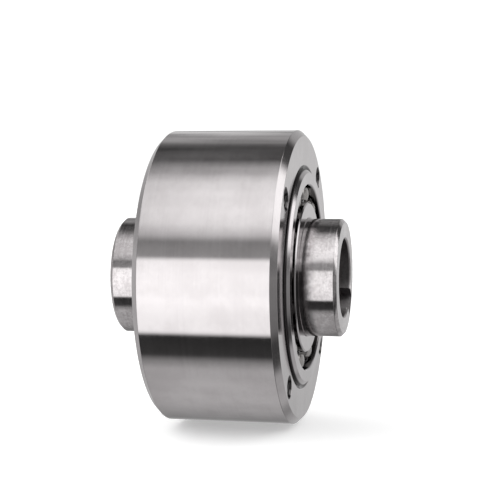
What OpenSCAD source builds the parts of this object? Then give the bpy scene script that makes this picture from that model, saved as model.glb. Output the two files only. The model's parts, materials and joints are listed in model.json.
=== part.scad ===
// Sprag freewheel clutch with its own ball bearings, 20 mm bore.
// A ground outer ring turns freely one way round a keyed sleeve and locks the other way.
// The axis of rotation is +Y and +Z is up. The origin is at the middle of the sleeve.

/* [Sleeve] */
// Bore for the shaft
bore_d = 20; // [19:0.5:21]
// Outside diameter at the bearing seats and the two ends
sleeve_d = 30; // [29:0.5:30.5]
// Overall length of the sleeve
sleeve_l = 58; // [54:1:70]
// Diameter of the ground track that the sprags grip
track_d = 33; // [32.8:0.1:33.2]
// Width of the keyway
key_w = 6; // [5:0.5:7]
// Distance from the axis to the keyway floor
key_floor = 12.8; // [12:0.1:13.2]
// Angle of the keyway round the sleeve
key_angle = 143; // [0:1:360]

/* [Outer ring] */
// Outside diameter of the ring
ring_d = 75; // [74:1:90]
// Width of the ring
ring_w = 35; // [34:0.5:38]
// Chamfer on the ring's two outer edges
ring_chamfer = 1.5; // [0.5:0.1:2]
// How far the ring sits from the middle of the sleeve, towards the front end
ring_shift = 1; // [0:0.5:3]
// Circle that the tapped holes lie on
hole_pcd = 65; // [64:0.5:66]
// Number of tapped holes, which go right through
hole_count = 4; // [3:1:6]
// Core diameter of a tapped hole
hole_d = 4.2; // [3.3:0.1:5]
// Angle of the first tapped hole
hole_angle = 51.5; // [0:0.5:90]

/* [Bearings] */
// Outside diameter of a bearing
bearing_d = 55; // [55:0.5:56]
// Width of a bearing
bearing_w = 9; // [8.5:0.1:9.5]
// How far a bearing stands proud of the ring's end face
bearing_proud = 1.2; // [0.2:0.1:2]
// Diameter of the circle through the middles of the balls
ball_pitch_d = 42.8; // [42.6:0.1:43]
// Diameter of a ball
ball_d = 6.35; // [6.2:0.05:6.4]
// Angle of the first ball round the bearing
ball_angle = 23; // [0:1:30]

/* [Sprags] */
// Length of a sprag along the axis
sprag_l = 13; // [10:0.5:14]
// Radius of the two curved faces of a sprag
sprag_r = 2.6; // [2.5:0.05:2.7]
// Sideways lean of each curved face, which lets the sprag wedge
sprag_lean = 0.4; // [0.2:0.05:0.5]

/* [Hidden] */
$fn = 96;
eps = 0.01;
ball_count = 12;
sprag_count = 14;

// Sleeve
sleeve_r = sleeve_d / 2;
track_r = track_d / 2;
sleeve_chamfer = 0.8;
bore_chamfer = 0.4;

// Ring, as heights along the axis
ring_r = ring_d / 2;
ring_front = ring_shift + ring_w / 2;
ring_rear = ring_shift - ring_w / 2;
pocket_chamfer = 1.2;
hole_mouth_d = 6;
hole_mouth_depth = (hole_mouth_d - hole_d) / 2;

// Bearings: each is built with its middle at height 0
bearing_mid = ring_w / 2 + bearing_proud - bearing_w / 2;
race_gap_end = ring_w / 2 + bearing_proud - bearing_w;
ball_r = ball_d / 2;
pitch_r = ball_pitch_d / 2;
groove_r = ball_r + 0.08;
inner_shoulder_r = pitch_r - 2.2;
outer_shoulder_r = pitch_r + 2.15;
race_round = 0.8;
shoulder_chamfer = 0.35;

// Ribbon cage of a bearing
pocket_r = ball_r + 0.06;
ribbon_t = 0.6;
ribbon_in_r = inner_shoulder_r + 0.5;
ribbon_out_r = outer_shoulder_r - 0.5;
rivet_r = 0.45;
rivet_head_r = 0.85;
rivet_head_h = 0.4;

// Sprag zone between the two bearings
race_space = 8.33;
outer_track_r = track_r + race_space;
sprag_mid_r = track_r + race_space / 2;
sprag_gap = 0.05;
sprag_arc_h = race_space / 2 - sprag_gap - sprag_r;
zone_l = 2 * race_gap_end;
cage_l = zone_l - 0.8;
cage_t = 0.8;
outer_cage_r = sprag_mid_r + 2.6;
inner_cage_r = sprag_mid_r - 1.95;
window_l = sprag_l + 0.6;
window_w = 2 * sprag_r + 0.8;
spring_t = 0.25;
spring_l = sprag_l + 3;
spring_window_w = 5.8;

ball_names = [for (i = [1:ball_count]) str(i < 10 ? "0" : "", i)];
sprag_names = [for (i = [1:sprag_count]) str(i < 10 ? "0" : "", i)];

// Shapes are drawn standing on Z and turned so that Z becomes the axis +Y.
module on_axis() {
    rotate([-90, 0, 0]) children();
}

// The front bearing faces +Y. The rear one is its mirror image across the ring's middle.
module at_front_bearing() {
    on_axis() translate([0, 0, ring_shift + bearing_mid]) children();
}

module at_rear_bearing() {
    on_axis() translate([0, 0, ring_shift - bearing_mid]) mirror([0, 0, 1]) children();
}

// Height z1 to z2, with a chamfer c at both outer edges
module chamfered_rod(r, z1, z2, c) {
    rotate_extrude()
        polygon([[0, z1], [r - c, z1], [r, z1 + c], [r, z2 - c], [r - c, z2], [0, z2]]);
}

// A cone that opens a hole of radius r by c at the face z; side is 1 upwards, -1 downwards
module mouth_chamfer(r, z, c, side) {
    rotate_extrude()
        polygon([[0, z - side * c], [r, z - side * c], [r + c + eps, z + side * eps],
                 [0, z + side * eps]]);
}

module around(count, first) {
    for (i = [0:count - 1])
        rotate([0, 0, first + i * 360 / count]) children();
}

module keyway_cutter() {
    rotate([0, 0, key_angle])
        translate([0, -key_w / 2, -sleeve_l / 2 - eps])
            cube([key_floor, key_w, sleeve_l + 2 * eps]);
}

module inner_sleeve() {
    color([0.74, 0.73, 0.74])
        on_axis() difference() {
            union() {
                chamfered_rod(sleeve_r, -sleeve_l / 2, sleeve_l / 2, sleeve_chamfer);
                translate([0, 0, ring_shift - race_gap_end])
                    cylinder(r = track_r, h = 2 * race_gap_end);
            }
            translate([0, 0, -sleeve_l / 2 - eps])
                cylinder(d = bore_d, h = sleeve_l + 2 * eps);
            mouth_chamfer(bore_d / 2, sleeve_l / 2, bore_chamfer, 1);
            mouth_chamfer(bore_d / 2, -sleeve_l / 2, bore_chamfer, -1);
            keyway_cutter();
        }
}

// Holes right through the ring, countersunk at both faces. The threads are left plain.
module ring_holes() {
    around(hole_count, hole_angle) translate([hole_pcd / 2, 0, 0]) {
        translate([0, 0, -ring_w / 2 - eps]) cylinder(d = hole_d, h = ring_w + 2 * eps);
        for (side = [0, 1]) mirror([0, 0, side])
            mouth_chamfer(hole_d / 2, ring_w / 2, hole_mouth_depth, 1);
    }
}

module outer_ring() {
    pocket_depth = bearing_w - bearing_proud;
    color([0.70, 0.69, 0.70])
        on_axis() translate([0, 0, ring_shift]) difference() {
            chamfered_rod(ring_r, -ring_w / 2, ring_w / 2, ring_chamfer);
            translate([0, 0, -ring_w / 2 - eps])
                cylinder(r = outer_track_r, h = ring_w + 2 * eps);
            for (side = [0, 1]) mirror([0, 0, side]) {
                translate([0, 0, ring_w / 2 - pocket_depth])
                    cylinder(d = bearing_d, h = pocket_depth + eps);
                mouth_chamfer(bearing_d / 2, ring_w / 2, pocket_chamfer, 1);
            }
            ring_holes();
        }
}

module groove_ring() {
    rotate_extrude() translate([pitch_r, 0]) circle(r = groove_r);
}

module outer_race() {
    half = bearing_w / 2;
    out = bearing_d / 2;
    c = race_round;
    s = shoulder_chamfer;
    color([0.72, 0.71, 0.72]) difference() {
        rotate_extrude()
            polygon([[outer_shoulder_r, -half + s], [outer_shoulder_r + s, -half],
                     [out - c, -half], [out, -half + c], [out, half - c], [out - c, half],
                     [outer_shoulder_r + s, half], [outer_shoulder_r, half - s]]);
        groove_ring();
    }
}

module inner_race() {
    half = bearing_w / 2;
    c = race_round / 2;
    s = shoulder_chamfer;
    color([0.72, 0.71, 0.72]) difference() {
        rotate_extrude()
            polygon([[sleeve_r, -half + c], [sleeve_r + c, -half],
                     [inner_shoulder_r - s, -half], [inner_shoulder_r, -half + s],
                     [inner_shoulder_r, half - s], [inner_shoulder_r - s, half],
                     [sleeve_r + c, half], [sleeve_r, half - c]]);
        groove_ring();
    }
}

module ball_spheres(r) {
    around(ball_count, ball_angle) translate([pitch_r, 0, 0]) sphere(r = r);
}

module ball(i) {
    color([0.82, 0.82, 0.83])
        rotate([0, 0, ball_angle + (i - 1) * 360 / ball_count])
            translate([pitch_r, 0, 0]) sphere(r = ball_r);
}

module band(r1, r2, z1, z2) {
    difference() {
        translate([0, 0, z1]) cylinder(r = r2, h = z2 - z1);
        translate([0, 0, z1 - eps]) cylinder(r = r1, h = z2 - z1 + 2 * eps);
    }
}

// The half of a ribbon cage above height 0: flat webs, with a domed pocket over each ball
module cage_half() {
    dome_r = pocket_r + ribbon_t;
    color([0.80, 0.78, 0.74]) difference() {
        intersection() {
            band(ribbon_in_r, ribbon_out_r, 0, dome_r);
            union() {
                band(ribbon_in_r - eps, ribbon_out_r + eps, 0, ribbon_t);
                ball_spheres(dome_r);
            }
        }
        ball_spheres(pocket_r);
        at_rivets() translate([0, 0, -eps]) cylinder(r = rivet_r, h = ribbon_t + 2 * eps);
    }
}

module at_rivets() {
    around(ball_count, ball_angle + 180 / ball_count) translate([pitch_r, 0, 0]) children();
}

// A shank through both halves, with a domed head on each face
module cage_rivets() {
    color([0.86, 0.85, 0.83]) at_rivets()
        rotate_extrude()
            polygon(concat([[0, -ribbon_t - rivet_head_h]], rivet_head(-1),
                           [[rivet_r, -ribbon_t], [rivet_r, ribbon_t]],
                           [for (i = [4:-1:0]) rivet_head(1)[i]],
                           [[0, ribbon_t + rivet_head_h]]));
}

function rivet_head(side) = [for (i = [1:5]) let (a = 90 - i * 18)
    [rivet_head_r * cos(a), side * (ribbon_t + rivet_head_h * sin(a))]];

// Windows for the sprags through a thin tube, shifted sideways by the sprag's lean
module sprag_windows(r, w, l, lean) {
    around(sprag_count, 0)
        translate([r - 2, lean - w / 2, -l / 2]) cube([4, w, l]);
}

module sprag_outer_cage() {
    flange_z = cage_l / 2 - cage_t;
    color([0.62, 0.60, 0.57]) on_axis() translate([0, 0, ring_shift]) union() {
        difference() {
            band(outer_cage_r - cage_t, outer_cage_r, -cage_l / 2, cage_l / 2);
            sprag_windows(outer_cage_r, window_w, window_l, sprag_lean);
        }
        band(outer_cage_r - eps, outer_track_r, flange_z, cage_l / 2);
    }
}

module sprag_inner_cage() {
    flange_r = outer_cage_r - cage_t;
    color([0.62, 0.60, 0.57]) on_axis() translate([0, 0, ring_shift]) union() {
        difference() {
            band(inner_cage_r - cage_t, inner_cage_r, -cage_l / 2, cage_l / 2);
            sprag_windows(inner_cage_r, window_w, window_l, -sprag_lean);
        }
        band(inner_cage_r - eps, flange_r, -cage_l / 2, cage_t - cage_l / 2);
    }
}

module sprag_ribbon_spring() {
    color([0.45, 0.48, 0.55]) on_axis() translate([0, 0, ring_shift]) difference() {
        band(sprag_mid_r - spring_t / 2, sprag_mid_r + spring_t / 2,
             -spring_l / 2, spring_l / 2);
        sprag_windows(sprag_mid_r, spring_window_w, window_l, 0);
    }
}

// Two offset curved faces joined by a waist
module sprag(i) {
    color([0.58, 0.58, 0.60]) on_axis() translate([0, 0, ring_shift])
        rotate([0, 0, (i - 1) * 360 / sprag_count]) translate([sprag_mid_r, 0, 0])
            for (side = [0, 1]) rotate([0, 0, 180 * side])
                translate([sprag_arc_h, sprag_lean, -sprag_l / 2])
                    cylinder(r = sprag_r, h = sprag_l);
}

inner_sleeve();
outer_ring();
at_front_bearing() outer_race();  // front_bearing_outer_race
at_front_bearing() inner_race();  // front_bearing_inner_race
at_rear_bearing() outer_race();  // rear_bearing_outer_race
at_rear_bearing() inner_race();  // rear_bearing_inner_race
at_front_bearing() cage_half();  // front_cage_outside_half
at_front_bearing() mirror([0, 0, 1]) cage_half();  // front_cage_inside_half
at_front_bearing() cage_rivets();  // front_cage_rivets
at_rear_bearing() cage_half();  // rear_cage_outside_half
at_rear_bearing() mirror([0, 0, 1]) cage_half();  // rear_cage_inside_half
at_rear_bearing() cage_rivets();  // rear_cage_rivets
sprag_outer_cage();
sprag_inner_cage();
sprag_ribbon_spring();
for (i = [1:ball_count]) {
    at_front_bearing() ball(i);
    at_rear_bearing() ball(i);
}
for (i = [1:sprag_count])
    sprag(i);
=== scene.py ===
"""Looks of the sprag freewheel clutch: fine meshes, steel materials, floor, light and camera.

Lengths are in metres. The axis of rotation is +Y, and the front end faces +Y.
"""

import json
import math

import bmesh
import bpy
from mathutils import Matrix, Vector


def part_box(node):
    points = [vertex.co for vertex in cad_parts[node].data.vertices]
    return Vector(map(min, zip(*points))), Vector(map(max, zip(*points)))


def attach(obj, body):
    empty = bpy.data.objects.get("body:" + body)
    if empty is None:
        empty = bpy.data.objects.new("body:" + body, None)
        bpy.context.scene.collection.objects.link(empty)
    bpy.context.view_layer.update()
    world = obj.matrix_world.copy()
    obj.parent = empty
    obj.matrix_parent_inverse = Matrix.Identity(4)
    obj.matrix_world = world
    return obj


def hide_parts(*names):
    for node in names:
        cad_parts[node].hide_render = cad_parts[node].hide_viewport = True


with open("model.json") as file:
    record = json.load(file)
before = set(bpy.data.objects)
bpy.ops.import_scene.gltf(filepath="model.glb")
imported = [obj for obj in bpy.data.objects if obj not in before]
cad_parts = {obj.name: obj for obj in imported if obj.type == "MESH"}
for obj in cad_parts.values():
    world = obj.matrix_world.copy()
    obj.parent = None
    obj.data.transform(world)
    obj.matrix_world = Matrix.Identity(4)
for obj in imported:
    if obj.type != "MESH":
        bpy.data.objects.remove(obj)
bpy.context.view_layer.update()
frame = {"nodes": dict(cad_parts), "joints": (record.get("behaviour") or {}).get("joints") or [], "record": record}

MM = 0.001
RING_SEGMENTS = 288
SMALL_SEGMENTS = 40
RIVET_SEGMENTS = 24
SHARP_ANGLE = math.radians(32)

# Sizes of details that a node's box doesn't give, as in the CAD model
RING_CHAMFER = 1.5 * MM
POCKET_CHAMFER = 1.2 * MM
SLEEVE_CHAMFER = 0.8 * MM
BORE_CHAMFER = 0.4 * MM
RACE_SHOULDER_CHAMFER = 0.35 * MM
RACE_CORNER = 0.8 * MM
RACE_CLEARANCE = 0.08 * MM
OUTER_SHOULDER_OFFSET = 2.15 * MM
POCKET_CLEARANCE = 0.06 * MM
RIBBON_THICKNESS = 0.6 * MM
SHOULDER_TO_RIBBON = 0.5 * MM
RIVET_SHANK_R = 0.45 * MM
RIVET_HEAD_R = 0.85 * MM
RIVET_HEAD_HEIGHT = 0.4 * MM
SLEEVE_R = 15 * MM
KEY_WIDTH = 6 * MM
KEY_FLOOR = 12.8 * MM
KEY_ANGLE = math.radians(143)
HOLE_CORE_R = 2.1 * MM
HOLE_MOUTH_R = 3 * MM
HOLE_ANGLE = math.radians(51.5)
THREAD_MAJOR_R = 2.5 * MM
THREAD_PITCH = 0.8 * MM
THREAD_TURNS = 13

# Roundings that catch the light along edges
FINE_EDGE = 0.07 * MM
TURNED_EDGE = 0.14 * MM


# ---------------------------------------------------------------- places taken from the frame

ring_lo, ring_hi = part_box("outer_ring")
sleeve_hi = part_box("inner_sleeve")[1]
mounts = {m["name"]: m for m in frame["record"]["mounts"]}
joint_pos = {j["name"]: Vector(j["pos_m"]) for j in frame["joints"]}

RING_R = ring_hi.x
RING_FRONT = ring_hi.y
RING_REAR = ring_lo.y
SLEEVE_END = sleeve_hi.y
TRACK_R = sleeve_hi.x
BORE_R = mounts["shaft_bore"]["dims"]["r_mm"] * MM
HOLE_CIRCLE_R = mounts["front_bolt_circle"]["dims"]["pcd_mm"] / 2 * MM
HOLE_COUNT = mounts["front_bolt_circle"]["dims"]["count"]
OUTER_TRACK_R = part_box("sprag_outer_cage")[1].x


def ball_centres(end):
    """Middles of the balls of the front or rear bearing, from their joints."""
    start = end + "_ball_"
    return [pos for name, pos in joint_pos.items() if name.startswith(start)]


def bearing(end):
    """Middle height, half width and radii of the front or rear bearing."""
    lo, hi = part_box(end + "_bearing_outer_race")
    inner_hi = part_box(end + "_bearing_inner_race")[1]
    centre = ball_centres(end)[0]
    ball_lo, ball_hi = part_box(end + "_ball_01")
    return {
        "mid": centre.y,
        "half": (hi.y - lo.y) / 2,
        "outside_r": hi.x,
        "inner_shoulder_r": inner_hi.x,
        "pitch_r": math.hypot(centre.x, centre.z),
        "ball_r": (ball_hi.y - ball_lo.y) / 2,
    }


BEARINGS = {end: bearing(end) for end in ("front", "rear")}
POCKET_R = BEARINGS["front"]["outside_r"]
OUTER_SHOULDER_R = BEARINGS["front"]["pitch_r"] + OUTER_SHOULDER_OFFSET


# ---------------------------------------------------------------- meshes

def rounded(corners, steps=4):
    """Closed outline of (y, r) points from corners (y, r, rounding)."""
    points = []
    for i, (y, r, rounding) in enumerate(corners):
        here = Vector((y, r))
        if rounding == 0:
            points.append(here)
            continue
        back = (Vector(corners[i - 1][:2]) - here).normalized()
        ahead = (Vector(corners[(i + 1) % len(corners)][:2]) - here).normalized()
        half = back.angle(ahead) / 2
        middle = here + (back + ahead).normalized() * (rounding / math.sin(half))
        reach = rounding / math.tan(half)
        spoke = here + back * reach - middle
        sweep = math.copysign(math.pi - 2 * half, ahead.cross(back))
        for k in range(steps + 1):
            c, s = math.cos(sweep * k / steps), math.sin(sweep * k / steps)
            points.append(middle + Vector((spoke.x * c - spoke.y * s,
                                           spoke.x * s + spoke.y * c)))
    return points


def turn(bm, outline, segments=RING_SEGMENTS, centre=(0, 0)):
    """Turns a closed outline of (y, r) points round +Y. A point on the axis makes a pole."""
    rings = []
    for y, r in outline:
        around = 1 if r < 1e-9 else segments
        angles = [2 * math.pi * k / around for k in range(around)]
        rings.append([bm.verts.new((centre[0] + r * math.cos(a), y,
                                    centre[1] + r * math.sin(a))) for a in angles])
    for a, b in zip(rings, rings[1:] + rings[:1]):
        for k in range(segments):
            nxt = k + 1
            quad = [a[k % len(a)], a[nxt % len(a)], b[nxt % len(b)], b[k % len(b)]]
            corners = list(dict.fromkeys(quad))
            if len(corners) > 2:
                bm.faces.new(corners)


def new_object(name, bm):
    """An object from a bmesh, with outward normals."""
    bmesh.ops.recalc_face_normals(bm, faces=bm.faces)
    mesh = bpy.data.meshes.new(name)
    bm.to_mesh(mesh)
    bm.free()
    obj = bpy.data.objects.new(name, mesh)
    bpy.context.scene.collection.objects.link(obj)
    return obj


def cut(obj, cutter):
    """Takes the cutter's solid away from the object for good, and removes the cutter."""
    modifier = obj.modifiers.new("cut", "BOOLEAN")
    modifier.operation = "DIFFERENCE"
    modifier.solver = "EXACT"
    modifier.object = cutter
    graph = bpy.context.evaluated_depsgraph_get()
    result = bpy.data.meshes.new_from_object(obj.evaluated_get(graph))
    obj.modifiers.remove(modifier)
    obj.data = result
    bpy.data.objects.remove(cutter)


def smooth(obj):
    """Smooth shading that keeps real edges, with flat faces kept flat beside roundings."""
    for face in obj.data.polygons:
        face.use_smooth = True
    obj.data.set_sharp_from_angle(angle=SHARP_ANGLE)
    modifier = obj.modifiers.new("flat faces", "WEIGHTED_NORMAL")
    modifier.keep_sharp = True


def place(obj, node, body, material):
    """Puts a finished mesh in a CAD node's stead."""
    smooth(obj)
    obj.data.materials.clear()
    obj.data.materials.append(material)
    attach(obj, body)
    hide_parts(node)


# ---------------------------------------------------------------- outer ring

def thread_cutter(bm, x, z, mouth, side):
    """A helical thread form from the mouth inwards; side is 1 for the front face."""
    crest = [0, 0, 1, 1, 1, 0]
    per_turn, rows_per_turn = SMALL_SEGMENTS, len(crest)
    rows = rows_per_turn * THREAD_TURNS
    turns_outside = 1.5
    verts = {}
    for row in range(rows + rows_per_turn + 1):
        deep = THREAD_MAJOR_R if crest[row % rows_per_turn] else HOLE_CORE_R
        for k in range(per_turn):
            a = 2 * math.pi * k / per_turn
            along = THREAD_PITCH * (row / rows_per_turn + k / per_turn - turns_outside)
            if row <= rows or k == 0:
                verts[row, k] = bm.verts.new((x + deep * math.cos(a), mouth - side * along,
                                              z + deep * math.sin(a)))

    def at(row, k):
        """The vertex there. The end of a turn is the start of the one a pitch deeper."""
        return verts[row, k] if k < per_turn else verts[row + rows_per_turn, 0]

    for row in range(rows):
        for k in range(per_turn):
            bm.faces.new([at(row, k), at(row, k + 1), at(row + 1, k + 1), at(row + 1, k)])
    for row in (0, rows):
        rim = [at(row, k) for k in range(per_turn + 1)]
        rim += [verts[row + j, 0] for j in range(rows_per_turn - 1, 0, -1)]
        level = sum(v.co.y for v in rim) / len(rim)
        hub = bm.verts.new((x, level, z))
        for v, w in zip(rim, rim[1:] + rim[:1]):
            bm.faces.new([v, w, hub])


def core_cutter(bm, x, z):
    """The core of a tapped hole right through, with a countersink at both faces."""
    lift = 0.2 * MM
    depth = HOLE_MOUTH_R - HOLE_CORE_R
    half = [(RING_FRONT + lift, 0), (RING_FRONT + lift, HOLE_MOUTH_R + lift),
            (RING_FRONT - depth, HOLE_CORE_R)]
    middle = RING_FRONT + RING_REAR
    outline = half + [(middle - y, r) for y, r in reversed(half)]
    turn(bm, outline, SMALL_SEGMENTS, (x, z))


def hole_places():
    """The (x, z) of each tapped hole."""
    for k in range(HOLE_COUNT):
        a = HOLE_ANGLE + 2 * math.pi * k / HOLE_COUNT
        yield HOLE_CIRCLE_R * math.cos(a), -HOLE_CIRCLE_R * math.sin(a)


def make_ring():
    """The ground ring: chamfered outside, with two bearing pockets and four tapped holes."""
    seat = 2 * BEARINGS["front"]["half"]
    front_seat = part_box("front_bearing_outer_race")[0].y
    rear_seat = front_seat - (BEARINGS["front"]["mid"] - BEARINGS["rear"]["mid"]) + seat
    corners = [
        (RING_FRONT, POCKET_R + POCKET_CHAMFER, FINE_EDGE),
        (RING_FRONT, RING_R - RING_CHAMFER, TURNED_EDGE),
        (RING_FRONT - RING_CHAMFER, RING_R, TURNED_EDGE),
        (RING_REAR + RING_CHAMFER, RING_R, TURNED_EDGE),
        (RING_REAR, RING_R - RING_CHAMFER, TURNED_EDGE),
        (RING_REAR, POCKET_R + POCKET_CHAMFER, FINE_EDGE),
        (RING_REAR + POCKET_CHAMFER, POCKET_R, FINE_EDGE),
        (rear_seat, POCKET_R, FINE_EDGE),
        (rear_seat, OUTER_TRACK_R, FINE_EDGE),
        (front_seat, OUTER_TRACK_R, FINE_EDGE),
        (front_seat, POCKET_R, FINE_EDGE),
        (RING_FRONT - POCKET_CHAMFER, POCKET_R, FINE_EDGE),
    ]
    bm = bmesh.new()
    turn(bm, rounded(corners))
    ring = new_object("ground_ring", bm)
    bm = bmesh.new()
    for spot in hole_places():
        core_cutter(bm, *spot)
    cut(ring, new_object("cutter", bm))
    bm = bmesh.new()
    for spot in hole_places():
        thread_cutter(bm, *spot, RING_FRONT, 1)
        thread_cutter(bm, *spot, RING_REAR, -1)
    cut(ring, new_object("cutter", bm))
    return ring


# ---------------------------------------------------------------- sleeve

def make_sleeve():
    """The keyed sleeve, stepped up between the bearings for the sprag track."""
    front_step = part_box("front_bearing_inner_race")[0].y
    rear_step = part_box("rear_bearing_inner_race")[1].y
    corners = []
    for end in (-1, 1):
        step = rear_step if end < 0 else front_step
        half = [
            (end * (SLEEVE_END - BORE_CHAMFER), BORE_R, FINE_EDGE),
            (end * SLEEVE_END, BORE_R + BORE_CHAMFER, FINE_EDGE),
            (end * SLEEVE_END, SLEEVE_R - SLEEVE_CHAMFER, TURNED_EDGE),
            (end * (SLEEVE_END - SLEEVE_CHAMFER), SLEEVE_R, TURNED_EDGE),
            (step, SLEEVE_R, FINE_EDGE),
            (step, TRACK_R, TURNED_EDGE),
        ]
        corners += half if end < 0 else half[::-1]
    bm = bmesh.new()
    turn(bm, rounded(corners))
    sleeve = new_object("keyed_sleeve", bm)
    cut(sleeve, keyway_cutter())
    return sleeve


def keyway_cutter():
    """A box from the axis out to the keyway's floor, a little longer than the sleeve."""
    bm = bmesh.new()
    bmesh.ops.create_cube(bm, size=1)
    over = 1 * MM
    for v in bm.verts:
        across = v.co.z * KEY_WIDTH
        out = (v.co.x + 0.5) * KEY_FLOOR
        v.co = Vector((out * math.cos(KEY_ANGLE) + across * math.sin(KEY_ANGLE),
                       v.co.y * 2 * (SLEEVE_END + over),
                       -out * math.sin(KEY_ANGLE) + across * math.cos(KEY_ANGLE)))
    return new_object("cutter", bm)


# ---------------------------------------------------------------- bearings

def groove(b, side, shoulder_r):
    """Arc of the ball groove between the two shoulders; side is 1 for the outer race."""
    r = b["ball_r"] + RACE_CLEARANCE
    half = math.acos((abs(shoulder_r - b["pitch_r"])) / r)
    steps = 16
    for k in range(steps + 1):
        a = -half + 2 * half * k / steps
        yield b["mid"] + r * math.sin(a), b["pitch_r"] + side * r * math.cos(a), 0


def make_race(b, side):
    """The outer race for side 1, the inner race for side -1."""
    shoulder_r = OUTER_SHOULDER_R if side > 0 else b["inner_shoulder_r"]
    seat_r = b["outside_r"] if side > 0 else SLEEVE_R
    corner = RACE_CORNER if side > 0 else RACE_CORNER / 2
    inset = seat_r - side * corner
    lip = side * RACE_SHOULDER_CHAMFER
    low, high = b["mid"] - b["half"], b["mid"] + b["half"]
    corners = [
        (low + corner, seat_r, TURNED_EDGE),
        (low, inset, TURNED_EDGE),
        (low, shoulder_r + lip, FINE_EDGE),
        (low + RACE_SHOULDER_CHAMFER, shoulder_r, FINE_EDGE),
        *groove(b, side, shoulder_r),
        (high - RACE_SHOULDER_CHAMFER, shoulder_r, FINE_EDGE),
        (high, shoulder_r + lip, FINE_EDGE),
        (high, inset, TURNED_EDGE),
        (high - corner, seat_r, TURNED_EDGE),
    ]
    bm = bmesh.new()
    turn(bm, rounded(corners))
    return new_object("race", bm)


def smooth_max(a, b, blend):
    """The greater of a and b, with a soft change from one to the other."""
    share = max(0, min(1, 0.5 + 0.5 * (a - b) / blend))
    return b + (a - b) * share + blend * share * (1 - share)


def ribbon_heights(b, centres, x, z):
    """How far the inner and outer skins of a pressed cage half stand off its middle plane."""
    d2 = min((x - c.x) ** 2 + (z - c.z) ** 2 for c in centres)
    pocket = b["ball_r"] + POCKET_CLEARANCE
    skins = []
    for thick, blend in ((0, 0.25 * MM), (RIBBON_THICKNESS, 0.5 * MM)):
        dome = math.sqrt(max((pocket + thick) ** 2 - d2, 0))
        skins.append(smooth_max(dome, thick, blend))
    return skins


def make_cage_half(b, centres, side):
    """Half of a pressed ribbon cage: webs with a domed pocket over each ball."""
    r_in = b["inner_shoulder_r"] + SHOULDER_TO_RIBBON
    r_out = OUTER_SHOULDER_R - SHOULDER_TO_RIBBON
    edge = 0.12 * MM
    across = 7
    stations = 36 * len(centres)
    radii = [r_in + edge + (r_out - r_in - 2 * edge) * k / (across - 1)
             for k in range(across)]
    bm = bmesh.new()
    loops = []
    for s in range(stations):
        a = 2 * math.pi * s / stations
        loop = []

        def point(r, share):
            low, high = ribbon_heights(b, centres, r * math.cos(a), r * math.sin(a))
            y = b["mid"] + side * (low + (high - low) * share)
            loop.append(bm.verts.new((r * math.cos(a), y, r * math.sin(a))))

        for r in radii:
            point(r, 0)
        for share in (0.25, 0.75):
            point(r_out, share)
        for r in reversed(radii):
            point(r, 1)
        for share in (0.75, 0.25):
            point(r_in, share)
        loops.append(loop)
    for p, q in zip(loops, loops[1:] + loops[:1]):
        for k in range(len(p)):
            nxt = (k + 1) % len(p)
            bm.faces.new([p[k], p[nxt], q[nxt], q[k]])
    return new_object("cage_half", bm)


def make_rivets(b, centres):
    """Domed rivets midway between the balls."""
    steps = 6
    dome = []
    for k in range(steps + 1):
        a = math.pi / 2 * k / steps
        dome.append((RIBBON_THICKNESS + RIVET_HEAD_HEIGHT * math.cos(a),
                     RIVET_HEAD_R * math.sin(a)))
    upper = dome + [(RIBBON_THICKNESS, RIVET_SHANK_R)]
    outline = upper + [(-y, r) for y, r in reversed(upper)]
    bm = bmesh.new()
    angles = sorted(math.atan2(c.z, c.x) for c in centres)
    for a in angles:
        between = a + math.pi / len(centres)
        spot = (b["pitch_r"] * math.cos(between), b["pitch_r"] * math.sin(between))
        turn(bm, [(b["mid"] + y, r) for y, r in outline], RIVET_SEGMENTS, spot)
    return new_object("rivets", bm)


# ---------------------------------------------------------------- materials

class Nodes:
    """A short way to add shader nodes and link them. A value may be a number or a socket."""

    def __init__(self, tree):
        self.tree = tree

    def feed(self, socket, value):
        """Sets an input, or links another node's output to it."""
        if isinstance(value, bpy.types.NodeSocket):
            self.tree.links.new(value, socket)
        else:
            socket.default_value = value

    def add(self, kind, inputs=(), **settings):
        node = self.tree.nodes.new("ShaderNode" + kind)
        for key, value in settings.items():
            setattr(node, key, value)
        for key, value in dict(inputs).items():
            self.feed(node.inputs[key], value)
        return node

    def math(self, operation, *values):
        node = self.add("Math", operation=operation)
        for socket, value in zip(node.inputs, values):
            self.feed(socket, value)
        return node.outputs[0]

    def remap(self, value, low, high, to_low=0.0, to_high=1.0):
        """A soft step from to_low to to_high while the value goes from low to high."""
        node = self.add("MapRange", {"Value": value, "From Min": low, "From Max": high,
                                     "To Min": to_low, "To Max": to_high})
        node.interpolation_type = "SMOOTHSTEP"
        return node.outputs["Result"]

    def mix(self, share, a, b):
        node = self.add("Mix", {"Factor": share, "A": a, "B": b})
        return node.outputs["Result"]

    def noise(self, vector, scale, detail=2.0, roughness=0.5):
        """Cloudy noise of about 0.3 to 0.7, with that many patches to the metre."""
        node = self.add("TexNoise", {"Vector": vector, "Scale": scale, "Detail": detail,
                                     "Roughness": roughness})
        return node.outputs["Fac"]


def cylinder_axes(n):
    """The object's own X, Y and Z, and the distance from the axis +Y."""
    spot = n.add("TexCoord").outputs["Object"]
    axes = n.add("SeparateXYZ", {"Vector": spot}).outputs
    across = n.math("POWER", axes["X"], 2.0)
    upward = n.math("POWER", axes["Z"], 2.0)
    return spot, axes, n.math("SQRT", n.math("ADD", across, upward))


def turned_vector(n, axes, radius, fine, along):
    """Coordinates in which noise makes fine lines round the axis, on faces and outsides."""
    line = n.math("MULTIPLY_ADD", axes["Y"], 1.37, radius)
    return n.add("CombineXYZ", {"X": n.math("MULTIPLY", line, fine),
                                "Y": n.math("MULTIPLY", axes["X"], along),
                                "Z": n.math("MULTIPLY", axes["Z"], along)}).outputs[0]


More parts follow.
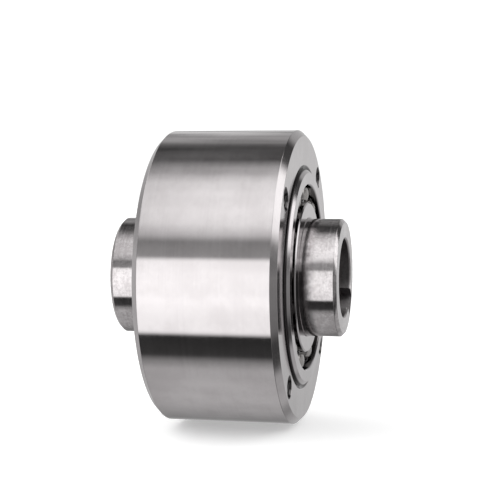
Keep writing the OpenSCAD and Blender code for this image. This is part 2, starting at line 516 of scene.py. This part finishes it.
def in_holes(n, axes, radius):
    """1 inside the tapped holes of the ring and their mouths, 0 outside: where shade is painted."""
    step = 2 * math.pi / HOLE_COUNT
    angle = n.math("ARCTAN2", n.math("MULTIPLY", axes["Z"], -1.0), axes["X"])
    turned = n.math("SUBTRACT", angle, HOLE_ANGLE)
    off = n.math("WRAP", turned, step / 2, -step / 2)
    along = n.math("MULTIPLY_ADD", radius, n.math("COSINE", off), -HOLE_CIRCLE_R)
    across = n.math("MULTIPLY", radius, n.math("SINE", off))
    away = n.math("SQRT", n.math("ADD", n.math("POWER", along, 2.0),
                                 n.math("POWER", across, 2.0)))
    return n.remap(away, HOLE_MOUTH_R + 0.03 * MM, HOLE_MOUTH_R - 0.12 * MM)


def in_grooves(n, radius):
    """1 in the gaps between the races and between the outer race and the ring, where shade is painted."""
    inner_shoulder_r = BEARINGS["front"]["inner_shoulder_r"]
    past_inner = n.remap(radius, inner_shoulder_r - 0.15 * MM, inner_shoulder_r)
    to_outer = n.remap(radius, OUTER_SHOULDER_R + 0.25 * MM, OUTER_SHOULDER_R + 0.05 * MM)
    past_outer = n.remap(radius, POCKET_R - 0.3 * RACE_CORNER, POCKET_R)
    to_ring = n.remap(radius, POCKET_R + POCKET_CHAMFER, POCKET_R + 0.8 * POCKET_CHAMFER)
    return n.math("ADD", n.math("MULTIPLY", past_inner, to_outer),
                  n.math("MULTIPLY", past_outer, to_ring))


def on_root(n, axes, spot):
    """1 on the sleeve close to the bearings, fading out unevenly: where shade is painted."""
    face = abs(BEARINGS["front"]["mid"]) + BEARINGS["front"]["half"]
    shift = n.math("MULTIPLY_ADD", n.noise(spot, 500, 3, 0.6), 6 * MM, -3 * MM)
    away = n.math("ADD", n.math("ABSOLUTE", axes["Y"]), shift)
    return n.remap(away, face + 2.6 * MM, face + 0.4 * MM)


def in_bore(n, axes, radius):
    """1 on the wall of the bore and in the keyway, 0 at the ends: rougher there, with painted shade."""
    inside = n.remap(radius, SLEEVE_R - 1.2 * MM, SLEEVE_R - 1.8 * MM)
    height = n.math("ABSOLUTE", axes["Y"])
    return n.math("MULTIPLY", inside, n.remap(height, SLEEVE_END, SLEEVE_END - BORE_CHAMFER))


def mix_colour(n, share, dark, light):
    """The dark colour at a share of 0 and the light one at 1."""
    node = n.add("ValToRGB", {"Fac": share})
    node.color_ramp.elements[0].color = (*dark, 1)
    node.color_ramp.elements[1].color = (*light, 1)
    return node.outputs["Color"]


def start_material(name):
    """A new metal: the material, its nodes and its shader."""
    material = bpy.data.materials.new(name)
    material.use_nodes = True
    tree = material.node_tree
    shader = tree.nodes["Principled BSDF"]
    shader.inputs["Metallic"].default_value = 1
    return material, Nodes(tree), shader


def turned_steel(name, dark, light, rough, depth, anisotropy, shade_left, sleeve=False):
    """Ground or turned steel: lines round the axis, stains and a stretched highlight.

    The argument after anisotropy is the share of the colour left where shade is painted: in the
    ring's holes and bearing gaps, and on the sleeve beside the bearings and in its bore. The
    sleeve is mottled and rougher in its bore.
    """
    material, n, shader = start_material(name)
    spot, axes, radius = cylinder_axes(n)
    lines = n.noise(turned_vector(n, axes, radius, 1800, 18), 1, 4, 0.6)
    fine = n.noise(turned_vector(n, axes, radius, 7000, 60), 1, 2)
    stains = n.noise(spot, 120, 4, 0.6)
    share = n.math("MULTIPLY_ADD", lines, 0.25, n.math("MULTIPLY", stains, 0.75))
    spread = n.math("MULTIPLY_ADD", lines, 0.5, n.math("MULTIPLY", stains, 0.5))
    roughness = n.remap(spread, 0.3, 0.7, rough[0], rough[1])
    height = n.math("MULTIPLY_ADD", fine, 0.4, lines)
    if sleeve:
        mottle = n.noise(spot, 900, 3, 0.7)
        share = n.math("ADD", share, n.math("MULTIPLY_ADD", mottle, 0.7, -0.35))
        height = n.math("MULTIPLY_ADD", mottle, 1.2, height)
        bore = in_bore(n, axes, radius)
        roughness = n.math("MULTIPLY_ADD", bore, 0.3, roughness)
        # Painted shade beside the bearings and in the bore
        painted_shade = n.math("MAXIMUM", on_root(n, axes, spot), bore)
    else:
        # Painted shade in the bearing gaps and the ring's tapped holes
        painted_shade = n.math("MAXIMUM", in_grooves(n, radius), in_holes(n, axes, radius))
    clean = mix_colour(n, n.remap(share, 0.35, 0.65), dark, light)
    # Darkens the colour where shade is painted
    tint = n.add("VectorMath", {0: clean}, operation="SCALE")
    n.feed(tint.inputs["Scale"], n.math("MULTIPLY_ADD", painted_shade, shade_left - 1.0, 1.0))
    n.feed(shader.inputs["Base Color"], tint.outputs["Vector"])
    n.feed(shader.inputs["Roughness"], roughness)
    bump = n.add("Bump", {"Height": height, "Strength": 1.0, "Distance": depth})
    n.feed(shader.inputs["Normal"], bump.outputs["Normal"])
    shader.inputs["Anisotropic"].default_value = anisotropy
    shader.inputs["Anisotropic Rotation"].default_value = 0.25
    tangent = n.add("Tangent", direction_type="RADIAL", axis="Y")
    n.feed(shader.inputs["Tangent"], tangent.outputs["Tangent"])
    return material


def plain_steel(name, dark, light, rough, grain, depth):
    """Pressed, tumbled or polished steel, with a fine even grain."""
    material, n, shader = start_material(name)
    spot = n.add("TexCoord").outputs["Object"]
    cloud = n.noise(spot, 260, 4, 0.6)
    speck = n.noise(spot, grain, 3, 0.6)
    n.feed(shader.inputs["Base Color"], mix_colour(n, n.remap(cloud, 0.35, 0.65), dark, light))
    n.feed(shader.inputs["Roughness"], n.remap(cloud, 0.3, 0.7, rough[0], rough[1]))
    bump = n.add("Bump", {"Height": speck, "Strength": 1.0, "Distance": depth})
    n.feed(shader.inputs["Normal"], bump.outputs["Normal"])
    return material


def make_materials():
    """Every material of the record, by its slot's name."""
    made = {}

    def turned(slot, *look, sleeve=False):
        made[slot] = turned_steel(slot, *look, sleeve=sleeve)

    def plain(slot, *look):
        made[slot] = plain_steel(slot, *look)

    # The number after anisotropy in each turned steel is the share of its colour left where shade is painted.
    turned("ring_steel", (0.585, 0.555, 0.56), (0.665, 0.635, 0.64),
           (0.08, 0.13), 0.0004 * MM, 0.8, 0.15)
    turned("sleeve_steel", (0.52, 0.49, 0.495), (0.70, 0.67, 0.675),
           (0.09, 0.16), 0.001 * MM, 0.7, 0.6, sleeve=True)
    turned("race_steel", (0.60, 0.57, 0.58), (0.68, 0.65, 0.66),
           (0.09, 0.15), 0.0006 * MM, 0.7, 0.2)
    plain("ball_steel", (0.66, 0.66, 0.67), (0.72, 0.72, 0.73),
          (0.05, 0.09), 3000, 0.0004 * MM)
    plain("ribbon_cage_steel", (0.40, 0.38, 0.37), (0.52, 0.50, 0.49),
          (0.20, 0.34), 2500, 0.005 * MM)
    plain("rivet_steel", (0.62, 0.61, 0.59), (0.72, 0.71, 0.69),
          (0.16, 0.28), 2500, 0.004 * MM)
    plain("sprag_steel", (0.42, 0.42, 0.44), (0.54, 0.54, 0.56),
          (0.18, 0.32), 2500, 0.004 * MM)
    plain("sprag_cage_steel", (0.38, 0.36, 0.33), (0.50, 0.48, 0.45),
          (0.28, 0.42), 2500, 0.005 * MM)
    plain("spring_steel", (0.24, 0.28, 0.40), (0.36, 0.42, 0.54),
          (0.20, 0.32), 2500, 0.003 * MM)
    return made


# ---------------------------------------------------------------- studio

# Brightness of the surroundings by angle round +Y, in degrees: 0 is the camera's side and
# 90 is overhead. BANDS is what the cylinders mirror, FRONT_BANDS is for directions that lean
# towards the front end, and END_BANDS for those nearer the axis, which the chamfers mirror.
BANDS = [
    (-180, 0.60), (-172, 0.52), (-163, 0.42), (-150, 0.28), (-138, 0.34), (-125, 0.48),
    (-106, 0.59), (-90, 0.61), (-73, 0.55), (-66, 0.34), (-60, 0.05), (-43.3, 0.03),
    (-40.3, 1.30), (-30, 1.42), (-14, 1.60), (5, 1.57), (15, 1.42), (18, 0.38), (30, 0.30),
    (35, 0.75), (44, 1.20), (55, 1.32), (71, 1.17), (80, 1.02), (88, 0.74), (96, 0.46),
    (105, 0.12), (122, 0.11), (138, 0.39), (180, 0.60),
]
FRONT_BANDS = [
    (-180, 0.68), (-174, 0.60), (-168, 0.48), (-150, 0.46), (-138, 0.30), (-122, 0.05),
    (-100, 0.04), (12, 0.03), (24, 0.50), (36, 1.10), (100, 1.10), (108, 0.80),
    (118, 0.08), (142, 0.06), (150, 0.42), (165, 0.50), (174, 0.60), (180, 0.68),
]
END_BANDS = [
    (-180, 0.60), (-136, 0.50), (-109, 0.48), (-104, 0.06), (-88, 0.05), (-78, 0.22),
    (0, 0.28), (36, 0.20), (64, 0.28), (78, 1.40), (120, 1.50), (122.5, 1.10),
    (127.5, 0.08), (146, 0.06), (153, 0.45), (165, 0.55), (180, 0.60),
]

# Light that falls on the floor, and the floor's own glow, which keeps the shadow pale
FLOOR_LIGHT = 1.5
FLOOR_GLOW = 0.34
FLOOR_GAP = 1.1 * MM
FLOOR_SIZE = 3
PAGE_WHITE = 1.1


def band_ramp(n, angle, bands):
    """The brightness that a list of bands gives at an angle in radians."""
    share = n.math("MULTIPLY_ADD", angle, 1 / (2 * math.pi), 0.5)
    ramp = n.add("ValToRGB", {"Fac": share})
    stops = ramp.color_ramp.elements
    top = max(level for _, level in bands)
    while len(stops) < len(bands):
        stops.new(0.5)
    for stop, (degrees, level) in zip(stops, bands):
        stop.position = degrees / 360 + 0.5
        stop.color = (level / top, level / top, level / top, 1)
    return n.math("MULTIPLY", ramp.outputs["Color"], top)


def unevenness(n, axes, angle):
    """A factor near 1 that makes the cylinders' bands cloudy, and dims some stretches."""
    def between(low, high, most):
        """0 up to one angle in degrees, and the most past the other."""
        return n.remap(angle, math.radians(low), math.radians(high), 0.0, most)

    stretched = n.add("CombineXYZ", {"X": n.math("MULTIPLY", angle, 4.0),
                                     "Y": n.math("MULTIPLY", axes["Y"], 10.0)}).outputs[0]
    cloud = n.math("SUBTRACT", n.noise(stretched, 1, 3, 0.6), 0.5)
    strength = n.math("ADD", between(80, 100, 2.1), 0.3)
    cloudy = n.math("MULTIPLY_ADD", cloud, strength, 1.0)
    below = between(-70, -90, 0.25)
    on_front_stub = n.remap(axes["Y"], -0.175, -0.155)
    front_dimmer = n.math("MULTIPLY", n.math("ADD", between(92, 108, 0.65), below),
                          on_front_stub)
    on_rear_stub = n.remap(axes["Y"], -0.275, -0.295)
    dimmer = n.math("MULTIPLY_ADD", n.math("ADD", between(20, 40, 0.35), below),
                    on_rear_stub, front_dimmer)
    return n.math("MULTIPLY", cloudy, n.math("SUBTRACT", 1.0, dimmer))


def floor_light(n, axes):
    """Light for the floor: most from both ends, and more from the rear, for a long shadow."""
    squared = n.math("POWER", n.math("ABSOLUTE", axes["Y"]), 2.0)
    from_ends = n.math("MULTIPLY_ADD", squared, 2.6 * FLOOR_LIGHT, 0.35 * FLOOR_LIGHT)
    return n.math("MULTIPLY_ADD", axes["Y"], -0.55 * FLOOR_LIGHT, from_ends)


def make_world():
    """Banded soft boxes for the steel to mirror, and white for the floor and the camera."""
    world = bpy.data.worlds.new("studio")
    bpy.context.scene.world = world
    world.use_nodes = True
    n = Nodes(world.node_tree)
    spot = n.add("TexCoord").outputs["Generated"]
    axes = n.add("SeparateXYZ", {"Vector": spot}).outputs
    angle = n.math("ARCTAN2", axes["Z"], axes["X"])
    bands = n.math("MULTIPLY", band_ramp(n, angle, BANDS), unevenness(n, axes, angle))
    to_front = n.remap(axes["Y"], -0.125, -0.09)
    mirrored = n.mix(to_front, bands, band_ramp(n, angle, FRONT_BANDS))
    to_end = n.remap(n.math("ABSOLUTE", axes["Y"]), 0.33, 0.5)
    mirrored = n.mix(to_end, mirrored, band_ramp(n, angle, END_BANDS))
    rays = n.add("LightPath").outputs
    level = n.mix(rays["Is Diffuse Ray"], mirrored, floor_light(n, axes))
    level = n.mix(rays["Is Camera Ray"], level, PAGE_WHITE)
    background = n.tree.nodes["Background"]
    background.inputs["Color"].default_value = (1, 1, 1, 1)
    n.feed(background.inputs["Strength"], level)


def make_floor():
    """A pale floor just under the ring, which the steel doesn't mirror."""
    bm = bmesh.new()
    bmesh.ops.create_grid(bm, x_segments=8, y_segments=8, size=FLOOR_SIZE)
    floor = new_object("floor", bm)
    floor.location.z = ring_lo.z - FLOOR_GAP
    material = bpy.data.materials.new("pale floor")
    material.use_nodes = True
    shader = material.node_tree.nodes["Principled BSDF"]
    shader.inputs["Base Color"].default_value = (0.86, 0.86, 0.86, 1)
    shader.inputs["Roughness"].default_value = 0.8
    shader.inputs["Emission Color"].default_value = (1, 1, 1, 1)
    shader.inputs["Emission Strength"].default_value = FLOOR_GLOW
    floor.data.materials.append(material)
    floor.visible_glossy = False


def make_camera():
    """The camera: a long lens, a little above the axis, turned to show the front end."""
    azimuth, elevation = math.radians(103.02), math.radians(4.035)
    distance = 345.2 * MM
    data = bpy.data.cameras.new("camera")
    data.lens = 95.75
    data.sensor_width = 36
    data.shift_x = 0.032
    data.shift_y = 0.052
    data.clip_start = 0.01
    camera = bpy.data.objects.new("camera", data)
    back = Vector((math.sin(azimuth) * math.cos(elevation),
                   -math.cos(azimuth) * math.cos(elevation), math.sin(elevation)))
    camera.location = back * distance
    camera.rotation_mode = "QUATERNION"
    camera.rotation_quaternion = (-back).to_track_quat("-Z", "Y")
    bpy.context.scene.collection.objects.link(camera)
    bpy.context.scene.camera = camera


# ---------------------------------------------------------------- the model

materials = make_materials()
slots = {s["node"]: s["material_slot"] for s in frame["record"]["subparts"]}
body_of = {node: body for body, nodes in frame["record"]["behaviour"]["bodies"].items()
           for node in nodes}

for node, obj in frame["nodes"].items():
    obj.data.materials.clear()
    obj.data.materials.append(materials[slots[node]])


def stand_in(obj, node):
    """Names a fine mesh after its CAD node and puts it in the node's stead."""
    obj.name = node + "_fine"
    place(obj, node, body_of[node], materials[slots[node]])


stand_in(make_ring(), "outer_ring")
stand_in(make_sleeve(), "inner_sleeve")
for end, facing in (("front", 1), ("rear", -1)):
    b = BEARINGS[end]
    centres = ball_centres(end)
    stand_in(make_race(b, 1), end + "_bearing_outer_race")
    stand_in(make_race(b, -1), end + "_bearing_inner_race")
    stand_in(make_cage_half(b, centres, facing), end + "_cage_outside_half")
    stand_in(make_cage_half(b, centres, -facing), end + "_cage_inside_half")
    stand_in(make_rivets(b, centres), end + "_cage_rivets")

make_world()
make_floor()
make_camera()
bpy.context.scene.view_settings.view_transform = "Standard"
